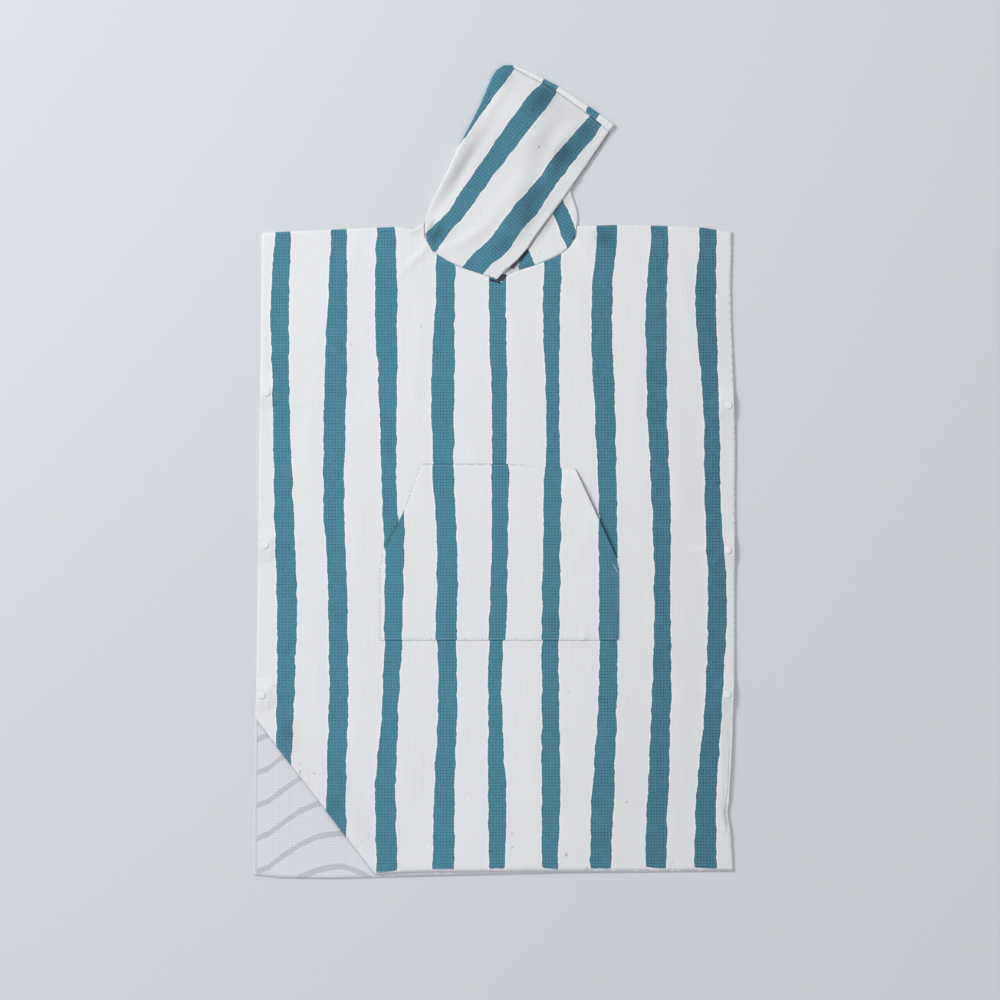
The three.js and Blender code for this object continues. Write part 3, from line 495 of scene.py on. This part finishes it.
# Front panel: the same cloth with its printed side up, buttoned to the back along both sides. Its
# lower left corner is turned under, and it lies in low soft waves with small puckers at the snaps.
front_creases = (
    (-352, 118, 70, 5, -12, 0.8, 3), (-358, 150, 45, 5, 28, 0.6, 0), (-355, 95, 40, 6, -40, 0.5, 0),
    (-352, -118, 70, 6, 6, 0.8, -3), (-360, -145, 45, 5, -35, 0.6, 0),
    (-358, -370, 70, 6, 8, 0.8, 3), (-362, -400, 45, 5, -30, 0.5, 0),
    (360, 112, 70, 6, -4, 0.8, 3), (368, 90, 40, 5, 32, 0.6, 0), (366, 135, 45, 5, -30, 0.6, 0),
    (358, -130, 70, 6, 5, 0.8, -3), (366, -152, 40, 5, 35, 0.6, 0),
    (358, -372, 70, 6, -6, 0.8, 3), (366, -396, 45, 5, 38, 0.6, 0),
    (381, -470, 190, 5, 92, 1.1, 2), (398, -520, 130, 4, 88, 0.7, 0),
    (384, -588, 60, 5, 120, 0.9, 0), (388, -606, 50, 4, 150, 0.7, 0),
    (394, -450, 150, 2.6, 91, -0.8, 0), (389, -555, 90, 2.8, 97, -1.1, 0), (390, -603, 50, 2.4, 78, -0.7, 0),
    (-250, 330, 220, 14, 70, 0.8, 8), (-310, 60, 260, 16, 85, 0.7, -8), (-230, -60, 240, 18, 98, 0.7, 6),
    (-130, 180, 260, 20, 82, 0.7, 10), (40, 200, 240, 22, 95, 0.7, -8), (150, 250, 220, 18, 110, 0.8, 8),
    (240, 160, 260, 18, 86, 0.8, -8), (320, 300, 200, 14, 100, 0.9, 6), (310, 20, 260, 16, 94, 0.7, 8),
    (270, -240, 260, 20, 84, 0.7, -8), (320, -420, 240, 16, 96, 0.8, 8), (200, -440, 260, 20, 88, 0.7, 8),
    (60, -430, 240, 22, 92, 0.7, -8), (-60, -440, 240, 20, 86, 0.7, 8), (-150, -500, 240, 18, 100, 0.8, -6),
    (-230, -420, 220, 18, 80, 0.8, 8), (-300, -330, 200, 16, 95, 0.8, -6),
    (-305, -545, 330, 15, -52.5, 2.2, 0), (-270, -515, 150, 14, -50, 0.8, 3),
    (-120, 372, 70, 6, 50, 1.0, 3), (150, 372, 70, 6, 120, 1.0, -3), (165, 350, 90, 8, 135, 0.8, 4),
    (-140, 350, 90, 8, 40, 0.8, -4), (20, 300, 60, 9, 88, 0.7, 0),
)
front_shades = (
    (-330, -470, 60, 16, -60, 0.05, 0), (-275, -500, 100, 20, -55, 0.05, 0),
    (-222, -590, 90, 16, -70, 0.06, 0),
    (184, 394, 30, 16, 80, 0.3, 0), (-350, -440, 34, 12, 78, 0.2, 0), (-130, 404, 30, 6, 30, 0.12, 0),
    (390, -480, 160, 5, 92, 0.06, 0), (385, -575, 50, 5, 100, 0.12, 0), (-268, -556, 34, 12, 80, 0.2, 0),
    (152, -262, 40, 6, 80, 0.08, 0),
)
# Painted shadows, as lines: in the pocket's opening and along its sewn edges, along the turned-under fold, in
# the groove by the right edge, above the hem and at the neck
front_shadow_lines = (
    (136.2, 5.4, 171, -68.5, 1.3, 0.82), (171, -68.5, 206.8, -144.6, 1.5, 0.97),
    (-183.8, -122.5, -158, -76.5, 1.2, 0.5), (209.2, -150, 209.2, -281, 1.2, 0.4),
    (-193, -283.3, 208, -283.3, 1.0, 0.15), (-124, 13.6, 30, 13.6, 1.0, 0.22),
    (30, 13.6, 81, 8.6, 1.0, 0.22), (81, 8.6, 132, 6.1, 1.0, 0.25),
    (-401.6, -414.6, -202, -674.9, 2.2, 0.34),
    (395, -382, 394.8, -460, 1.8, 0.3), (394.8, -460, 390.8, -533, 2.0, 0.36),
    (390.8, -533, 386.1, -571.5, 2.2, 0.5), (386.1, -571.5, 388.6, -593, 2.0, 0.5),
    (388.6, -593, 392.5, -613, 1.8, 0.3), (383, -560, 384, -596, 1.4, 0.2),
    (-200, -673.6, -104, -669.4, 0.9, 0.2), (-8.5, 322.5, 11, 317.5, 4, 0.93),
)
front_fine = [(middle.x / mm, middle.y / mm, 32, 3.5) for middle in snap_middles] + [
    (-110, 380, 40, 4.5), (10, 330, 40, 4.5), (120, 380, 40, 4.5), (-365, -460, 40, 4.5),
    (-300, -545, 40, 4.5),
    (-235, -630, 40, 4.5), (390, -450, 25, 3.5), (390, -500, 25, 3.5), (390, -550, 25, 3), (390, -600, 25, 3),
]
# Where the print ends above the hem, by place across the panel
hem_places = (-200, -165, -104, 404)
print_ends = (-673.5, -669.5, -667, -665.5)

front_cloth = cloth_form("front", "front_panel", (0.0, 0.0), 7.5, hidden=plain_side, fine=front_fine)
relax(front_cloth, 12)
spots = points_of(front_cloth.data) / mm
lift(front_cloth, crease_heights(front_creases, spots[:, 0], spots[:, 1]))
painted = inside_stripes(body_heights, body_stripes, spots[:, 0], spots[:, 1])
above_hem = spots[:, 1] - np.interp(spots[:, 0], hem_places, print_ends)
keep_on_points(front_cloth, "stripe", np.minimum(painted, above_hem))
keep_on_points(front_cloth, "shade", crease_heights(front_shades, spots[:, 0], spots[:, 1]))
finish_cloth(front_cloth, "front_panel", waffle_cloth("front waffle cloth", shadow_lines=front_shadow_lines))


# Pocket: one patch of the same cloth, stitched on along its top, its bottom and its short sides, and
# open along both slants. The right opening stands a little away from the front.
pocket_heights = (12, -140, -283)
pocket_stripes = (
    ((-184, -152), (-184, -152), (-186, -156)),
    ((-105, -70), (-97, -63), (-99, -63)),
    ((-6, 24), (-5, 22), (-11, 19)),
    ((84, 113), (81, 110), (78, 108)),
    ((174, 207), (175, 209), (175, 209)),
)
pocket_creases = (
    (150, -272, 34, 4, 92, 0.9, 0), (-60, -150, 200, 16, 84, 0.6, 6), (60, -140, 200, 18, 96, 0.6, -6),
    (150, -120, 120, 12, 70, 0.7, 5), (-150, -180, 140, 12, 95, 0.6, 4),
)
pocket_side_heights = (-282.5, -143.5, -74.5, 13)
pocket_left_side = (-192.9, -192.9, -155.9, -123.9)
pocket_right_side = (208.6, 208.6, 175, 132.1)
pressed_depth = 0.75
pressed_reach = 7
opening_lift = 2.2
# Painted shadows, as lines: along the closed left slant, the right side and the top
pocket_shadow_lines = (
    (-181, -126, -152, -74, 3.0, 0.16), (207.6, -152, 207.6, -230, 1.0, 0.35),
    (207.4, -228, 205, -281, 1.2, 0.65), (-124, 11.6, 29, 11.6, 0.8, 0.2), (29, 11.6, 80, 6.6, 0.8, 0.2),
    (80, 6.6, 128, 4.2, 0.8, 0.2),
)
pocket_cloth = cloth_form("pocket_patch", "pocket", (0.0, -0.1), 4, hidden=plain_side)
relax(pocket_cloth, 8)
spots = points_of(pocket_cloth.data) / mm
from_left = spots[:, 0] - np.interp(spots[:, 1], pocket_side_heights, pocket_left_side)
from_right = np.interp(spots[:, 1], pocket_side_heights, pocket_right_side) - spots[:, 0]
on_slant = np.clip((spots[:, 1] + 143) / 12, 0, 1) * np.clip((5 - spots[:, 1]) / 12, 0, 1)
from_sewn = np.minimum(np.minimum(spots[:, 1] + 282.5, 13 - spots[:, 1]), from_left)
from_sewn = np.minimum(from_sewn, from_right + 30 * on_slant)
upper = normals_of(pocket_cloth.data)[:, 2] > 0
pressed = -pressed_depth * np.clip(1 - from_sewn / pressed_reach, 0, 1) ** 2 * upper
opened = opening_lift * on_slant * np.exp(-(from_right / 22) ** 2)
shared = crease_heights(front_creases + pocket_creases, spots[:, 0], spots[:, 1])
lift(pocket_cloth, shared + pressed + opened)
painted = inside_stripes(pocket_heights, pocket_stripes, spots[:, 0], spots[:, 1])
keep_on_points(pocket_cloth, "stripe", painted)
finish_cloth(pocket_cloth, "pocket", waffle_cloth("pocket waffle cloth", shadow_lines=pocket_shadow_lines))


# Hood, wearer's right side: it lies on top, folded round the back of the head and on to the centre
# back seam underneath. Its stripes run up from the neck towards the face, with a white strip beside
# the opening.
right_lean = math.radians(37.7)
right_heights = (570, 545, 505, 465, 425, 385, 345, 305, 270, 240)
right_stripes = (
    ((-424, -389), (-424, -387), (-422, -387), (-420, -385), (-418, -383), (-416, -382), (-416, -380),
     (-416, -380), (-416, -380), (-416, -380)),
    ((-336, -308), (-341, -306), (-341, -306), (-340, -306), (-338, -306), (-336, -306), (-333, -304),
     (-330, -303), (-333, -306), (-337, -304)),
    ((-240, -213), (-242, -213), (-244, -214), (-245, -213), (-243, -212), (-247, -210), (-246, -212),
     (-246, -209), (-251, -218), (-254, -218)),
)
right_creases = (
    (-73, 515, 190, 9, 62, 2.6, 3), (-30, 520, 210, 15, 60, 2.2, -5),
    (-97, 412, 46, 5, 66, 2.0, 0), (-82, 400, 50, 6, 40, 1.4, 3),
    (30, 470, 200, 17, 54, 2.2, 8), (66, 618, 90, 16, 40, 2.4, 6), (108, 545, 90, 13, 62, 2.6, -8),
    (10, 392, 130, 12, 62, 2.4, 6), (60, 430, 120, 10, 50, 1.6, -4), (142, 560, 80, 9, 55, 1.6, 3),
    (5, 625, 110, 10, 58, 1.6, -4), (-45, 392, 90, 9, 30, 1.4, 4), (92, 500, 70, 8, 66, 1.8, 4),
)
right_shades = (
    (-56, 512, 125, 8, 60, 0.36, 2), (-106, 411, 26, 5, 68, 0.35, 0), (-98, 398, 36, 8, 40, 0.40, 0),
    (79, 628, 60, 16, 50, 0.36, 0), (78, 557, 90, 16, 60, 0.18, 0), (115, 534, 50, 15, 48, 0.42, 0),
    (64, 462, 60, 14, 50, 0.30, 0), (53, 426, 46, 11, 62, 0.34, 0), (150, 572, 40, 12, 50, 0.22, 0),
    (20, 660, 40, 9, 55, 0.22, 0), (-20, 560, 80, 9, 62, 0.10, 0), (20, 385, 60, 9, 30, 0.14, 0),
    (40, 500, 420, 240, 50, 0.045, 0), (110, 618, 170, 34, -36, 0.09, 0),
)
# Painted shadows, as lines: along the crown seam and just inside the face edge
right_shadow_lines = (
    (33, 675, 80, 651, 1.2, 0.4), (80, 651, 103, 637.5, 1.2, 0.6), (103, 637.5, 150, 604, 1.2, 0.4),
    (150, 604, 179, 581, 1.2, 0.55), (56, 379, 88, 424.5, 0.9, 0.85), (88, 424.5, 113, 458.5, 0.9, 0.8),
    (113, 458.5, 133, 487.5, 0.9, 0.5),
)
hood_right = cloth_form("hood_right", "hood_right_side", (0.04, 0.5), 4.5)
relax(hood_right, 6)
spots = points_of(hood_right.data) / mm
upper = np.clip((spots[:, 2] - 1.3) / 1.5, 0, 1)
lift(hood_right, crease_heights(right_creases, spots[:, 0], spots[:, 1]) * upper)
across = spots[:, 0] * math.cos(right_lean) - spots[:, 1] * math.sin(right_lean)
along = spots[:, 0] * math.sin(right_lean) + spots[:, 1] * math.cos(right_lean)
keep_on_points(hood_right, "stripe", inside_stripes(right_heights, right_stripes, across, along))
keep_on_points(hood_right, "shade", crease_heights(right_shades, spots[:, 0], spots[:, 1]))
right_finish = waffle_cloth("right hood waffle cloth", right_lean, shadow_lines=right_shadow_lines)
finish_cloth(hood_right, "hood_right_side", right_finish)


# Hood, wearer's left side: it lies underneath. Its crown edge comes up as a narrow band, its face
# edge shows beside the upper side, and next to the neck it is folded over into a flap.
flap_lean = math.radians(-23.4)
flap_stripes = ((85, 112), (173, 200), (261, 287))
crown_lean = math.radians(30.3)
crown_stripes = ((-350, -323), (-262, -234), (-174, -151), (-88, -62), (0, 26))
left_shades = ((95, 425, 120, 7, 52, 0.3, 0), (185, 555, 90, 6, 55, 0.12, 0))
# Painted shadows, as lines: in the gap beside the upper side's face edge, along that edge, and by the flap's
# neck corner
left_shadow_lines = (
    (37, 349.5, 55, 371.5, 6.5, 0.95), (55, 371.5, 91, 424, 2.4, 0.7), (91, 424, 127, 476, 2.4, 0.6),
    (127, 476, 159, 519.5, 2.4, 0.6), (159, 519.5, 193, 570.5, 2.4, 0.6), (133, 390, 138, 399, 5, 0.8),
)
hood_left = cloth_form("hood_left", "hood_left_side", (0.1, 0.5), 4.5, up=-1)
relax(hood_left, 6)
spots = points_of(hood_left.data) / mm
normals = normals_of(hood_left.data)
on_flap = (spots[:, 1] < 485) & (spots[:, 2] > 1.35)
flap_across = spots[:, 0] * math.cos(flap_lean) - spots[:, 1] * math.sin(flap_lean)
crown_across = spots[:, 0] * math.cos(crown_lean) - spots[:, 1] * math.sin(crown_lean)
across = np.where(on_flap, flap_across, crown_across)
inside = np.full(len(across), -100.0)
for chart, area in ((flap_stripes, on_flap), (crown_stripes, ~on_flap)):
    for left, right in chart:
        inside = np.where(area, np.maximum(inside, np.minimum(across - left, right - across)), inside)
keep_on_points(hood_left, "stripe", inside)
keep_on_points(hood_left, "shade", crease_heights(left_shades, spots[:, 0], spots[:, 1]))
left_finish = waffle_cloth("left hood waffle cloth", crown_lean, shadow_lines=left_shadow_lines)
finish_cloth(hood_left, "hood_left_side", left_finish)


# Sewing: white thread, as small separate stitches that sink into the cloth at their ends, and as
# close zigzags over the cut edges of both hems.
thread_colour = Finish("white thread", 0.7)
twist = thread_colour.noise(thread_colour.place(), 0.9 * mm)
thread_colour.feed(
    thread_colour.shader.inputs["Base Color"],
    thread_colour.blend(1.0, thread_white, thread_colour.grey(0.97 + twist * 0.12), "MULTIPLY"),
)
thread_colour.shader.inputs["Sheen Weight"].default_value = 0.2
thread_sides = 6


def route_places(route, pitch):
    """Even places along a route of straight runs, and the direction of each"""
    route = np.array(route, float)
    runs = np.diff(route, axis=0)
    lengths = np.hypot(runs[:, 0], runs[:, 1])
    reached = np.concatenate([[0], np.cumsum(lengths)])
    at = np.arange(pitch / 2, reached[-1], pitch)
    run = np.clip(np.searchsorted(reached, at) - 1, 0, len(runs) - 1)
    directions = runs[run] / lengths[run][:, None]
    return route[run] + directions * (at - reached[run])[:, None], directions


def on_cloth(carrier, places, floor_height=0.0):
    """The places, in millimetres, with the height of the cloth below each"""
    corners = [vertex.co for vertex in carrier.data.vertices]
    tree = BVHTree.FromPolygons(corners, [face.vertices for face in carrier.data.polygons])
    heights = []
    for x, y in places:
        hit = tree.ray_cast(Vector((x * mm, y * mm, 50 * mm)), Vector((0, 0, -1)))[0]
        heights.append(floor_height if hit is None else hit.z / mm)
    return np.column_stack([places, heights])


def thread_piece(name, paths, radius, swell):
    """Round threads along paths in millimetres, each as thick at its points as the swell says"""
    points, faces = [], []
    round_thread = np.linspace(0, 2 * math.pi, thread_sides, endpoint=False)
    for path in paths:
        path = np.array(path)
        along = np.gradient(path, axis=0)
        along /= np.linalg.norm(along, axis=1)[:, None]
        aside = np.cross(along, (0, 0, 1))
        aside /= np.linalg.norm(aside, axis=1)[:, None] + 1e-9
        above = np.cross(aside, along)
        thick = radius * np.resize(swell, len(path)) if len(swell) != len(path) else radius * np.array(swell)
        first = len(points)
        for middle, side_way, up_way, size in zip(path, aside, above, thick):
            for turn in round_thread:
                points.append((middle + size * (math.cos(turn) * side_way + math.sin(turn) * up_way)) * mm)
        for ring in range(len(path) - 1):
            for k in range(thread_sides):
                a, b = first + ring * thread_sides + k, first + ring * thread_sides + (k + 1) % thread_sides
                faces.append((a, b, b + thread_sides, a + thread_sides))
        last = first + (len(path) - 1) * thread_sides
        faces.append(tuple(range(first + thread_sides - 1, first - 1, -1)))
        faces.append(tuple(range(last, last + thread_sides)))
    mesh = bpy.data.meshes.new(name)
    mesh.from_pydata([tuple(p) for p in points], [], faces)
    mesh.shade_smooth()
    mesh.materials.append(thread_colour.material)
    piece = bpy.data.objects.new(name, mesh)
    bpy.context.collection.objects.link(piece)
    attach(piece, "root")
    return piece


stitch_pitch = 3.5
stitch_length = 2.3
stitch_radius = 0.17
bar_radius = 0.42
stitch_form = ((-0.5, -0.2, 0.6), (-0.36, 0.02, 1.0), (0.0, 0.1, 1.1), (0.36, 0.02, 1.0), (0.5, -0.2, 0.6))


def stitches(name, route, carrier, pitch=stitch_pitch, length=stitch_length, radius=stitch_radius):
    """A row of stitches along a route on the cloth"""
    places, directions = route_places(route, pitch)
    middles = on_cloth(carrier, places)
    lean = np.random.default_rng(7).normal(0, 0.09, len(places))
    paths = []
    for (x, y, z), (dx, dy), turn in zip(middles, directions, lean):
        dx, dy = dx * math.cos(turn) - dy * math.sin(turn), dx * math.sin(turn) + dy * math.cos(turn)
        paths.append([(x + dx * length * t, y + dy * length * t, z + rise) for t, rise, _ in stitch_form])
    return thread_piece(name, paths, radius, [row[2] for row in stitch_form])


overlock_pitch = 2.6
overlock_radius = 0.22


def overlock(name, route, carrier, width, inwards):
    """A zigzag of thread over a cut edge: it crosses to the edge and back at each step"""
    places, directions = route_places(route, overlock_pitch / 2)
    aside = np.column_stack([-directions[:, 1], directions[:, 0]]) * inwards
    across = np.where(np.arange(len(places)) % 2 == 0, width, 0.6)[:, None]
    knots = on_cloth(carrier, places + aside * across)
    between = on_cloth(carrier, (knots[1:, :2] + knots[:-1, :2]) / 2)
    path = np.empty((len(knots) + len(between), 3))
    path[0::2], path[1::2] = knots, between
    path[:, 2] += 0.12
    path[1::2, 2] += 0.12
    return thread_piece(name, [path], overlock_radius, [1.0])


stitches("pocket_top_stitches", ((-119, 10.6), (9, 10.6), (60, 7.4), (130, 7.2)), pocket_cloth)
stitches("pocket_foot_stitches", ((-190, -280), (205, -280)), pocket_cloth)
stitches("pocket_left_stitches", ((-190.3, -280), (-190.3, -147)), pocket_cloth)
stitches("pocket_right_stitches", ((205.8, -277), (205.8, -150)), pocket_cloth)
stitches("opening_bar", ((199.5, -156), (206.5, -168)), pocket_cloth, 3.0, 3.6, bar_radius)
front_hem_route = ((-200, -675.4), (-164, -673.4), (-104, -671.4), (401, -669.4))
overlock("front_hem_thread", front_hem_route, front_cloth, 4.6, 1)
back_hem_route = ((-401, -677), (-364, -681.4), (-283, -683.4), (-195, -680.8))
overlock("back_hem_thread", back_hem_route, back_cloth, 4.6, 1)
overlock("back_foot_thread", ((-190, -680.6), (-130, -678.2), (403, -671.0)), back_cloth, 1.6, 1)
overlock("back_side_thread", ((-403.8, -676), (-403.8, -560), (-401.4, -417)), back_cloth, 4.6, -1)
stitches("crown_stitches", ((36, 671.5), (82, 648), (103, 635.5), (150, 602), (176, 580)), hood_right)
face_route = ((10, 322), (36, 352), (62, 388), (88, 422), (113, 456), (155, 517), (187, 562))
stitches("face_stitches", face_route, hood_right)


# Snaps: white plastic press fasteners, six down the sides. A round cap with a soft rim shows on the
# front and one on the back, each held by a post through the cloth to its socket or stud inside.
cap_radius = 6.2 * mm
cap_thickness = 1.1 * mm
cap_rim = 0.45 * mm
snap_plastic = Finish("white snap plastic", 0.28)
cast = snap_plastic.noise(snap_plastic.place(), 2.5 * mm)
snap_plastic.feed(
    snap_plastic.shader.inputs["Base Color"],
    snap_plastic.blend(1.0, from_screen(236, 238, 241), snap_plastic.grey(1 + cast * 0.04), "MULTIPLY"),
)
snap_plastic.feed(snap_plastic.shader.inputs["Roughness"], 0.26 + cast * 0.1)


def disc(radius, low, high, insets, rim):
    """A round disc from its lower face up: its top is inset and lifted, and its rims are rounded"""
    bpy.ops.object.select_all(action="DESELECT")
    place = (0, 0, (low + high) / 2)
    bpy.ops.mesh.primitive_cylinder_add(vertices=40, radius=radius, depth=high - low, location=place)
    piece = bpy.context.object
    bpy.ops.object.transform_apply(location=True, rotation=False, scale=False)
    for inset, rise in insets:
        bpy.ops.object.mode_set(mode="EDIT")
        form = bmesh.from_edit_mesh(piece.data)
        top = max(face.calc_center_median().z for face in form.faces)
        for face in form.faces:
            face.select_set(face.calc_center_median().z > top - 0.01 * mm)
        bmesh.update_edit_mesh(piece.data)
        bpy.ops.mesh.inset(thickness=inset, depth=rise)
        bpy.ops.object.mode_set(mode="OBJECT")
    bevel = piece.modifiers.new("rim", "BEVEL")
    bevel.width = rim
    bevel.segments = 3
    bevel.limit_method = "ANGLE"
    bevel.angle_limit = math.radians(50)
    bpy.ops.object.modifier_apply(modifier="rim")
    return piece


def joined(name, discs):
    bpy.ops.object.select_all(action="DESELECT")
    for piece in discs:
        piece.select_set(True)
    bpy.context.view_layer.objects.active = discs[0]
    bpy.ops.object.join()
    piece = bpy.context.object
    piece.name = name
    bpy.ops.object.shade_smooth_by_angle(angle=math.radians(35))
    piece.data.materials.append(snap_plastic.material)
    return piece


def fastened(model, node, height):
    """A copy of a snap half, its own mesh moved to its place"""
    low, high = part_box(node)
    half = model.copy()
    half.data = model.data.copy()
    half.name = node.replace("snap_", "press_")
    half.data.name = half.name
    half.data.transform(Matrix.Translation(((low.x + high.x) / 2, (low.y + high.y) / 2, height(low, high))))
    bpy.context.collection.objects.link(half)
    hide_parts(node)
    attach(half, "root")


cap_insets = ((1.2 * mm, 0.14 * mm), (0.5 * mm, -0.1 * mm), (1.6 * mm, 0.16 * mm))
cap_model = joined("cap model", [
    disc(cap_radius, -1.35 * mm, -0.25 * mm, cap_insets, cap_rim),
    disc(1.3 * mm, -3.1 * mm, -1.3 * mm, (), 0.1 * mm),
    disc(5.2 * mm, -4.8 * mm, -3.1 * mm, ((1.0 * mm, 0.2 * mm),), 0.3 * mm),
])
stud_model = joined("stud model", [
    disc(cap_radius, 0.0, cap_thickness, ((1.2 * mm, 0.05 * mm),), cap_rim),
    disc(1.3 * mm, 1.0 * mm, 3.0 * mm, (), 0.1 * mm),
    disc(5.2 * mm, 2.9 * mm, 3.5 * mm, (), 0.2 * mm),
    disc(2.6 * mm, 3.4 * mm, 4.7 * mm, ((0.6 * mm, 0.0),), 0.4 * mm),
])
for node in snap_nodes:
    fastened(cap_model, node, lambda low, high: high.z)
    fastened(stud_model, node.replace("cap", "stud"), lambda low, high: low.z)
bpy.data.objects.remove(cap_model)
bpy.data.objects.remove(stud_model)


# Floor and light: a plain pale floor, one large soft light from the upper left, and a weak one
# from the right.
bpy.ops.mesh.primitive_plane_add(size=14, location=(0, 0, -0.0004))
floor = bpy.context.object
floor.name = "floor"
ground = Finish("pale floor", 0.85)
ground.shader.inputs["Base Color"].default_value = from_screen(214, 218, 222)
floor.data.materials.append(ground.material)


def soft_light(name, place, size, power):
    bpy.ops.object.light_add(type="AREA", location=place)
    light = bpy.context.object
    light.name = name
    light.data.size = size
    light.data.energy = power
    light.rotation_euler = (-Vector(place)).to_track_quat("-Z", "Y").to_euler()


soft_light("window", (-4.4, 3.3, 4.0), 2.3, 300)
soft_light("reflector", (2.6, -1.6, 2.4), 2.5, 5)
world = bpy.data.worlds.new("studio")
bpy.context.scene.world = world
world.use_nodes = True
world.node_tree.nodes["Background"].inputs["Color"].default_value = (0.955, 0.97, 1.0, 1.0)
world.node_tree.nodes["Background"].inputs["Strength"].default_value = 0.56
